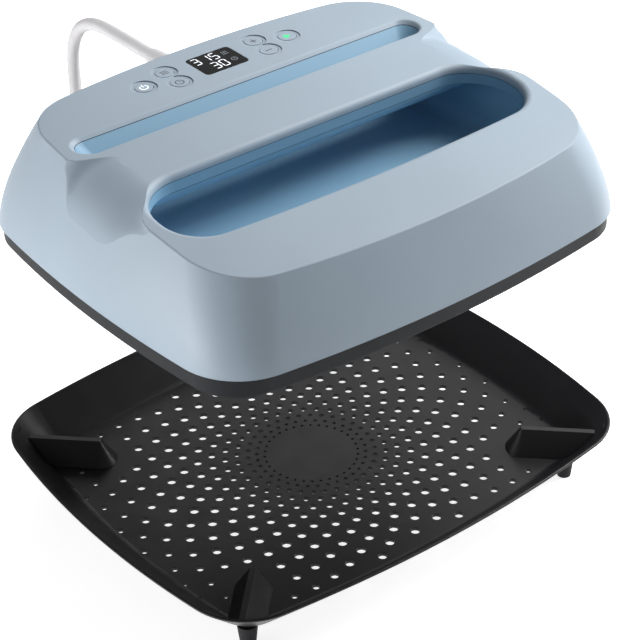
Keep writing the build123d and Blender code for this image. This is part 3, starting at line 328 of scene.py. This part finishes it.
windowLook = {
    "clean": tint(7, 8, 10), "hazy": tint(14, 15, 18), "haze": 60.0, "rough": (0.10, 0.22),
    "specular": 0.04, "waves": 20.0, "depth": 0.02, "waveHeight": 0.0005,
}


def smokedWindow(name, look):
    # The display's smoked cover: black, polished, with a faint haze of fingerprints
    board = Board(name)
    haze = board.noise(look["haze"], detail=4.0, rough=0.6)
    waves = board.noise(look["waves"], detail=2.0)
    return board.finish({
        "Base Color": board.wander(haze, look["clean"], look["hazy"]),
        "Roughness": board.spread(haze, *look["rough"]),
        "Specular IOR Level": look["specular"],
        "Normal": board.bump(waves, look["depth"], look["waveHeight"]),
    })


boardLook = {
    "mask": tint(20, 84, 52), "track": tint(58, 128, 84), "cells": 260.0, "trackEdge": (0.04, 0.09),
    "gloss": 200.0, "rough": (0.25, 0.4), "depth": 0.25, "trackHeight": 0.0001,
}


def circuitBoard(name, look):
    # Green solder mask over copper tracks
    board = Board(name)
    cells = board.add("ShaderNodeTexVoronoi", feature="DISTANCE_TO_EDGE", distance="MANHATTAN")
    board.feed(cells.inputs["Scale"], look["cells"])
    board.feed(cells.inputs["Vector"], board.spots)
    tracks = board.spread(cells.outputs["Distance"], 1.0, 0.0, *look["trackEdge"])
    return board.finish({
        "Base Color": board.blend(tracks, look["mask"], look["track"]),
        "Roughness": board.spread(board.noise(look["gloss"]), *look["rough"]),
        "Normal": board.bump(tracks, look["depth"], look["trackHeight"]),
    })


padLook = {
    "shadow": tint(214, 210, 200), "fibre": tint(240, 238, 232), "strands": 500.0, "along": (1, 3, 1),
    "rough": 0.95, "depth": 0.7, "strandHeight": 0.0006,
}


def fibrePad(name, look):
    # Pressed ceramic fibre: white, soft, with strands
    board = Board(name)
    strands = board.noise(look["strands"], detail=6.0, rough=0.7, spots=board.stretch(look["along"]))
    return board.finish({
        "Base Color": board.wander(strands, look["shadow"], look["fibre"]),
        "Roughness": look["rough"],
        "Normal": board.bump(strands, look["depth"], look["strandHeight"]),
    })


ribbonLook = {
    "groove": tint(150, 150, 154), "wire": tint(190, 190, 194), "wires": 250.0,
    "rough": 0.5, "depth": 0.4, "wireHeight": 0.0003,
}


def flatRibbon(name, look):
    # Flat cable: parallel wires under grey skin
    board = Board(name)
    waves = board.add("ShaderNodeTexWave", wave_type="BANDS", bands_direction="X")
    board.feed(waves.inputs["Scale"], look["wires"])
    board.feed(waves.inputs["Vector"], board.spots)
    wires = waves.outputs["Fac"]
    return board.finish({
        "Base Color": board.blend(wires, look["groove"], look["wire"]),
        "Roughness": look["rough"],
        "Normal": board.bump(wires, look["depth"], look["wireHeight"]),
    })


# Printed or lit signs: their colour, and how much they glow
markLooks = {
    "inkGrey": (tint(44, 54, 66), 0.0),
    "lampWhite": (tint(255, 255, 255), 0.9),
    "lampGreen": (tint(60, 214, 140), 0.55),
    "digitWhite": (tint(236, 240, 246), 0.75),
    "iconDim": (tint(150, 158, 168), 0.15),
}
inkLook = {"grain": 3000.0, "grainShade": 0.9, "rough": 0.5}


def litMark(name, colour, glow, look):
    # Fine ink grain, and light where there is a lamp behind
    board = Board(name)
    ink = board.noise(look["grain"], detail=2.0)
    return board.finish({
        "Base Color": board.wander(ink, shade(colour, look["grainShade"]), colour),
        "Roughness": look["rough"],
        "Emission Color": colour,
        "Emission Strength": glow,
    })


finishes = {name: mouldedPlastic(name, look, mouldedLook) for name, look in plasticLooks.items()}
finishes.update({name: brushedMetal(name, look, brushedLook) for name, look in metalLooks.items()})
finishes.update({name: litMark(name, *look, inkLook) for name, look in markLooks.items()})
finishes["windowBlack"] = smokedWindow("windowBlack", windowLook)
finishes["boardGreen"] = circuitBoard("boardGreen", boardLook)
finishes["fibreWhite"] = fibrePad("fibreWhite", padLook)
finishes["ribbonGrey"] = flatRibbon("ribbonGrey", ribbonLook)

nodeFinishes = {
    "shellBlue": ["upper_shell", "button_power", "button_menu", "button_timer",
                  "button_plus", "button_minus", "button_start"],
    "linerBlue": ["recess_liner", "handle_grip"],
    "trayCharcoal": ["base_tray"],
    "dockCharcoal": ["dock_rear_right", "dock_rear_left", "dock_front_left", "dock_front_right"],
    "skirtGrey": ["skirt_ring"],
    "footRubber": ["foot_rear_right", "foot_rear_left", "foot_front_left", "foot_front_right"],
    "screwSteel": ["foot_screws", "trim_screws", "plate_screws", "shell_screws", "skirt_screws",
                   "clamp_screws", "board_screws", "power_board_screws", "plate_spacers",
                   "thermal_cutout", "temperature_sensor", "tact_switches"],
    "hotPlate": ["heat_plate"],
    "elementSteel": ["heating_element"],
    "shieldMetal": ["heat_shield"],
    "coreSteel": ["transformer"],
    "bladeBrass": ["plug_blades"],
    "fibreWhite": ["insulation_pad"],
    "windowBlack": ["display_window"],
    "boardGreen": ["control_board", "power_board"],
    "blackPlastic": ["display_module", "buzzer", "relay", "fuse"],
    "terminalGreen": ["terminal_block"],
    "frameGrey": ["inner_frame", "cord_clamp"],
    "leadRed": ["heater_leads"],
    "leadBlue": ["mains_leads"],
    "ribbonGrey": ["ribbon_cable"],
    "cordGrey": ["strain_relief", "plug_body", "cord_exit", "cord_drop", "cord_floor", "cord_coil"],
}
for finish, names in nodeFinishes.items():
    for name in names:
        slots = nodes[name].data.materials
        slots.clear()
        slots.append(finishes[finish])
left = set(nodes) - {name for names in nodeFinishes.values() for name in names}
print("finishes given; nodes without one:", sorted(left))


def newPiece(name, mesh, finish):
    piece = bpy.data.objects.new(name, mesh)
    bpy.context.collection.objects.link(piece)
    mesh.materials.append(finishes[finish])
    return piece


def meshFrom(name, points, faces, smooth=True):
    mesh = bpy.data.meshes.new(name)
    mesh.from_pydata([tuple(p) for p in points], [], faces)
    mesh.update()
    for face in mesh.polygons:
        face.use_smooth = smooth
    return mesh


# The mains cord is one smooth line, cut where it leaves the press and where it nears the table;
# the places it passes are in millimetres
cordLook = {
    "radius": 4.5 * mm,
    "sides": 20,
    "order": 3,
    "steps": 12,  # of the spline, between two points
    "dropTop": 209.0 * mm,  # the cord is cut at these two levels, and the stretch between gets its own mesh
    "dropBottom": 50.1 * mm,
    "travel": 158.0 * mm,  # the press's way down
    "exit": (0.0, 100.0, 254.5),
    "hang": [(0.0, 158.0, 254.5), (0.0, 263.0, 254.5), (1.5, 266.0, 154.5), (0.5, 267.0, 104.0),
             (4.0, 272.0, 4.6), (84.0, 285.0, 4.6)],
    "coilMiddle": (150.0, 227.6),
    "coilReach": [57.4, 51.4, 45.4, 39.4, 33.4],
    "coilPoints": 8,  # in each half turn
    "level": 4.6,
    "layer": 10.0,
    "leadOut": 16.0,  # straight stretch after the last turn
    "plugEnd": 102.0,
    "stiffness": "medium",
}


def coilTurns(look):
    # Half turns that close in, one that climbs a layer, and half turns that open out again
    middleX, middleY = look["coilMiddle"]
    reach, count = look["coilReach"], look["coilPoints"]
    floor, upper = look["level"], look["level"] + look["layer"]
    pull = 1 / ((3 + cos(pi / count)) / 4)  # the line runs inside its points by this much
    halves = [(a, b, floor, floor) for a, b in zip(reach, reach[1:])]
    halves.append((reach[-1], reach[-1], floor, upper))
    halves += [(b, a, upper, upper) for a, b in zip(reach[-2::-1], reach[::-1])]
    points, top = [], 1
    for start, end, low, high in halves:
        centre, radius = middleY + top * (start - end) / 2, (start + end) / 2 * pull
        for step in range(count):
            turn = pi * (step + 0.5) / count
            rise = low + (high - low) * (step + 0.5) / count
            points.append((middleX + top * radius * sin(turn), centre + top * radius * cos(turn), rise))
        top = -top
    plugY = middleY + top * reach[0]
    return points + [(middleX - look["leadOut"], plugY, upper), (look["plugEnd"], plugY, upper)]


def smoothLine(name, points, order, steps):
    # Points read from the route's own spline
    curve = bpy.data.curves.new(name, "CURVE")
    curve.dimensions = "3D"
    spline = curve.splines.new("NURBS")
    spline.points.add(len(points) - 1)
    for point, place in zip(spline.points, points):
        point.co = (place[0] * mm, place[1] * mm, place[2] * mm, 1.0)
    spline.order_u = order
    spline.use_endpoint_u = True
    spline.resolution_u = steps
    holder = bpy.data.objects.new(name, curve)
    bpy.context.collection.objects.link(holder)
    line = bpy.data.meshes.new_from_object(holder)
    spots = [v.co.copy() for v in line.vertices]
    bpy.data.objects.remove(holder)
    bpy.data.curves.remove(curve)
    bpy.data.meshes.remove(line)
    return spots


def cutAt(line, level):
    # The line split where it first falls through a level, with a point put in there
    for i in range(1, len(line)):
        if line[i - 1].z > level >= line[i].z:
            share = (line[i - 1].z - level) / (line[i - 1].z - line[i].z)
            spot = line[i - 1].lerp(line[i], share)
            return line[:i] + [spot], [spot] + line[i:]
    raise ValueError("the cord never falls through that level")


def tubeMesh(name, line, radius, sides, flatStart, flatEnd):
    # A closed tube along a line; a flat end is cut level so that the next stretch meets it
    points, faces = [], []
    side = Vector((1, 0, 0))
    for i, spot in enumerate(line):
        ahead = (line[min(i + 1, len(line) - 1)] - line[max(i - 1, 0)]).normalized()
        if (flatStart and i == 0) or (flatEnd and i == len(line) - 1):
            ahead = Vector((0, 0, -1))
        side = (side - ahead * side.dot(ahead)).normalized()
        other = ahead.cross(side)
        for k in range(sides):
            turn = 2 * pi * k / sides
            points.append(spot + side * radius * cos(turn) + other * radius * sin(turn))
    for i in range(len(line) - 1):
        for k in range(sides):
            a, b = i * sides + k, i * sides + (k + 1) % sides
            faces.append((a, b, b + sides, a + sides))
    last = len(points)
    for first, order in ((0, -1), (last - sides, 1)):
        points += points[first:first + sides]
        faces.append(tuple(range(last, last + sides))[::order])
        last += sides
    return meshFrom(name, points, faces)


def lengthOf(line):
    return sum((b - a).length for a, b in zip(line, line[1:]))


cordRoute = [cordLook["exit"]] + cordLook["hang"] + coilTurns(cordLook)
wholeLine = smoothLine("cordRoute", cordRoute, cordLook["order"], cordLook["steps"])
exitLine, rest = cutAt(wholeLine, cordLook["dropTop"])
dropLine, tableLine = cutAt(rest, cordLook["dropBottom"])
stretches = {
    "mainsCordExit": {
        "line": exitLine, "body": "press", "stoodFor": ["cord_exit"], "lay": "loose",
        "farEnd": "object", "withPieces": [], "flatEnds": (False, True), "closesUp": False,
    },
    "mainsCordDrop": {
        "line": dropLine, "body": "base", "stoodFor": ["cord_drop"], "lay": "hanging",
        "farEnd": "object", "withPieces": [], "flatEnds": (True, True), "closesUp": True,
    },
    "mainsCordTable": {
        "line": tableLine, "body": "base", "stoodFor": ["cord_floor", "cord_coil"], "lay": "coiled",
        "farEnd": "plug", "withPieces": [nodes["plug_body"], nodes["plug_blades"]],
        "flatEnds": (True, False), "closesUp": False,
    },
}
for name, stretch in stretches.items():
    line = stretch["line"]
    mesh = tubeMesh(name, line, cordLook["radius"], cordLook["sides"], *stretch["flatEnds"])
    piece = newPiece(name, mesh, "cordGrey")
    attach(piece, stretch["body"])
    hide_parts(*stretch["stoodFor"])
    if stretch["closesUp"]:
        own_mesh(piece)
print("cord laid:", [round(lengthOf(line), 4) for line in (exitLine, dropLine, tableLine)])

# Signs on the rear deck; all sizes from here to the stage are in millimetres
signLook = {
    "dish": 0.4,  # the buttons' tops lie this far under the deck
    "lift": 0.02,
}


def deckLevel(y):
    return crown["apex"] - (y - crown["apexY"]) ** 2 / (2 * crown["radius"])


def signMesh(name, shapes, middle, sink):
    # Flat shapes round a middle, laid on the deck's curve
    points, faces = [], []
    for shape in shapes:
        first = len(points)
        for x, y in shape:
            place = (middle[0] + x, middle[1] + y)
            level = deckLevel(place[1]) - sink + signLook["lift"]
            points.append((place[0] * mm, place[1] * mm, level * mm))
        faces.append(tuple(range(first, first + len(shape))))
    return meshFrom(name, points, faces, False)


def bar(x0, y0, x1, y1, wide, pointed=False):
    # A straight bar; the segments of a digit have pointed ends
    a, b = Vector((x0, y0)), Vector((x1, y1))
    along = Vector((x1 - x0, y1 - y0)).normalized()
    out = Vector((-along.y, along.x)) * wide / 2
    if not pointed:
        return [tuple(p) for p in (a - out, b - out, b + out, a + out)]
    inA, inB = a + along * wide / 2, b - along * wide / 2
    return [tuple(p) for p in (a, inA - out, inB - out, b, inB + out, inA + out)]


def ring(radius, wide, start, end, count, middle=(0, 0)):
    # A ring, or part of one, in short four-sided pieces between two angles in degrees
    inner, outer = radius - wide / 2, radius + wide / 2
    pieces = []
    for i in range(count):
        a = radians(start + (end - start) * i / count)
        b = radians(start + (end - start) * (i + 1) / count)
        corners = ((inner, a), (outer, a), (outer, b), (inner, b))
        pieces.append([(r * cos(t) + middle[0], r * sin(t) + middle[1]) for r, t in corners])
    return pieces


def signShapes(look):
    # A sign is a ring, bars or plain faces, in that order
    shapes = ring(**look["ring"]) if "ring" in look else []
    shapes += [bar(*ends, look["wide"]) for ends in look.get("bars", [])]
    return shapes + look.get("faces", [])


displayLook = {
    "middle": (0.0, 86.5),
    "wide": 4.1, "high": 8.2, "thick": 0.82, "pitch": 6.3,
    "notch": 0.18,  # gap at a segment's ends, in thicknesses
    "rows": (("3", -13.6, 2.3), ("15", -6.2, 2.3), ("30", -6.2, -9.0)),  # text and its lower left corner
    "heatSign": {
        "bars": [(8.6, 5.6, 8.6, 8.2), (10.1, 5.6, 10.1, 8.2), (11.6, 5.6, 11.6, 8.2),
                 (7.8, 4.4, 12.4, 4.4)],
        "wide": 0.5,
    },
    "clockSign": {
        "ring": {"radius": 2.0, "wide": 0.45, "start": 0, "end": 360, "count": 24,
                 "middle": (10.2, -4.6)},
        "bars": [(10.2, -4.6, 10.2, -3.3), (10.2, -4.6, 11.2, -4.6)],
        "wide": 0.4,
    },
}
segments = {"0": "abcdef", "1": "bc", "3": "abcdg", "5": "acdfg"}


def digit(figure, x, y, look):
    # A figure of seven segments, from its lower left corner
    gap = look["thick"] * look["notch"]
    left, right, low, mid, top = x, x + look["wide"], y, y + look["high"] / 2, y + look["high"]
    bars = {
        "a": (left + gap, top, right - gap, top), "b": (right, mid + gap, right, top - gap),
        "c": (right, low + gap, right, mid - gap), "d": (left + gap, low, right - gap, low),
        "e": (left, low + gap, left, mid - gap), "f": (left, mid + gap, left, top - gap),
        "g": (left + gap, mid, right - gap, mid),
    }
    return [bar(*bars[s], look["thick"], pointed=True) for s in segments[figure]]


buttonSigns = {
    "power": {
        "middle": (-55.5, 86.5), "finish": "lampWhite",
        "ring": {"radius": 2.6, "wide": 0.62, "start": 125, "end": 415, "count": 28},
        "bars": [(0, 0.5, 0, 3.5)], "wide": 0.62,
    },
    "menu": {
        "middle": (-34.5, 94.75), "finish": "inkGrey",
        "bars": [(-2.5, 1.8, 2.5, 1.8), (-2.5, 0, 2.5, 0), (-2.5, -1.8, 2.5, -1.8)], "wide": 0.7,
    },
    "timer": {
        "middle": (-34.5, 78.25), "finish": "inkGrey",
        "ring": {"radius": 2.7, "wide": 0.65, "start": 0, "end": 360, "count": 32},
        "bars": [(0, 0, 0, 1.8), (0, 0, 1.4, 0)], "wide": 0.5,
    },
    "plus": {
        "middle": (34.5, 94.75), "finish": "inkGrey",
        "bars": [(-2.6, 0, 2.6, 0), (0, 0.375, 0, 2.6), (0, -2.6, 0, -0.375)], "wide": 0.75,
    },
    "minus": {
        "middle": (34.5, 78.25), "finish": "inkGrey",
        "bars": [(-2.6, 0, 2.6, 0)], "wide": 0.75,
    },
    "start": {
        "middle": (55.5, 86.5), "finish": "lampGreen",
        "faces": [[(-2.2, -2.9), (3.1, 0), (-2.2, 2.9)]],
    },
}

figures = []
for text, x, y in displayLook["rows"]:
    for i, figure in enumerate(text):
        figures += digit(figure, x + i * displayLook["pitch"], y, displayLook)
icons = signShapes(displayLook["heatSign"]) + signShapes(displayLook["clockSign"])
signs = [
    ("displayDigits", figures, displayLook["middle"], 0.0, "digitWhite", "press", "display_grey"),
    ("displayIcons", icons, displayLook["middle"], 0.0, "iconDim", "press", "display_grey"),
]
for name, look in buttonSigns.items():
    signs.append((name + "Sign", signShapes(look), look["middle"], signLook["dish"], look["finish"],
                  "button_" + name, "button_white"))
for name, shapes, middle, sink, finish, body, slotName in signs:
    piece = newPiece(name, signMesh(name, shapes, middle, sink), finish)
    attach(piece, body)
print("signs laid:", len(signs))

# The stage: a pale floor, soft lamps and an even sky, in metres
floorLook = {
    "size": 12.0, "dull": tint(246, 246, 246), "bright": tint(252, 252, 252), "grain": 40.0,
    "rough": 0.9, "specular": 0.1, "glow": 0.82,
}


def makeFloor(look):
    half = look["size"] / 2
    corners = [(-half, -half, 0), (half, -half, 0), (half, half, 0), (-half, half, 0)]
    mesh = meshFrom("floor", corners, [(0, 1, 2, 3)], False)
    floor = bpy.data.objects.new("floor", mesh)
    bpy.context.collection.objects.link(floor)
    board = Board("floorWhite")
    mesh.materials.append(board.finish({
        "Base Color": board.wander(board.noise(look["grain"], detail=4.0), look["dull"], look["bright"]),
        "Roughness": look["rough"],
        "Specular IOR Level": look["specular"],
    }))
    # It glows only for what looks at it, straight or by way of gloss or glass
    rays = board.add("ShaderNodeLightPath").outputs
    mirrored = board.maths("MAXIMUM", rays["Is Glossy Ray"], rays["Is Transmission Ray"])
    seen = board.maths("MAXIMUM", rays["Is Camera Ray"], mirrored)
    strength = board.maths("MULTIPLY", seen, look["glow"])
    glow = board.add("ShaderNodeEmission", {"Strength": strength})
    both = board.add("ShaderNodeAddShader", {0: board.surface.outputs[0], 1: glow.outputs[0]})
    board.feed(board.tree.nodes["Material Output"].inputs["Surface"], both.outputs[0])


skyLook = {"seen": 1.0, "unseen": 0.16, "colour": (1.0, 1.0, 1.0, 1.0)}


def makeSky(look):
    # White to the camera and through glass, faint for everything that it lights
    world = bpy.data.worlds.new("sky")
    world.use_nodes = True
    bpy.context.scene.world = world
    tree = world.node_tree
    back = tree.nodes["Background"]
    rays = tree.nodes.new("ShaderNodeLightPath")
    seen = tree.nodes.new("ShaderNodeMath")
    seen.operation = "MAXIMUM"
    tree.links.new(rays.outputs["Is Camera Ray"], seen.inputs[0])
    tree.links.new(rays.outputs["Is Transmission Ray"], seen.inputs[1])
    level = tree.nodes.new("ShaderNodeMapRange")
    level.inputs["To Min"].default_value = look["unseen"]
    level.inputs["To Max"].default_value = look["seen"]
    tree.links.new(seen.outputs[0], level.inputs["Value"])
    tree.links.new(level.outputs["Result"], back.inputs["Strength"])
    back.inputs["Color"].default_value = look["colour"]


lampLooks = {
    "rightLamp": {"place": (0.88, -0.1, 1.06), "aim": (0, 0, 0.25), "size": (0.8, 0.8), "power": 17.0},
    "leftLamp": {"place": (-1.6, 0.3, 0.12), "aim": (0, 0, 0.22), "size": (1.2, 0.16), "power": 18.5},
    "lowLamp": {"place": (1.5, -0.5, 0.62), "aim": (0, 0, 0.24), "size": (0.4, 0.4), "power": 6.0},
    "sheenLamp": {"place": (1.24, 1.45, 1.22), "aim": (0.08, 0, 0.03), "size": (1.2, 0.8), "power": 3.5},
}


def makeLamp(name, look):
    light = bpy.data.lights.new(name, "AREA")
    light.shape = "RECTANGLE"
    light.size, light.size_y = look["size"]
    light.energy = look["power"]
    holder = bpy.data.objects.new(name, light)
    bpy.context.collection.objects.link(holder)
    holder.location = look["place"]
    aim = Vector(look["aim"]) - Vector(look["place"])
    holder.rotation_euler = aim.to_track_quat("-Z", "Y").to_euler()


makeFloor(floorLook)
makeSky(skyLook)
for name, look in lampLooks.items():
    makeLamp(name, look)
bpy.context.scene.view_settings.view_transform = "Standard"
print("stage set")
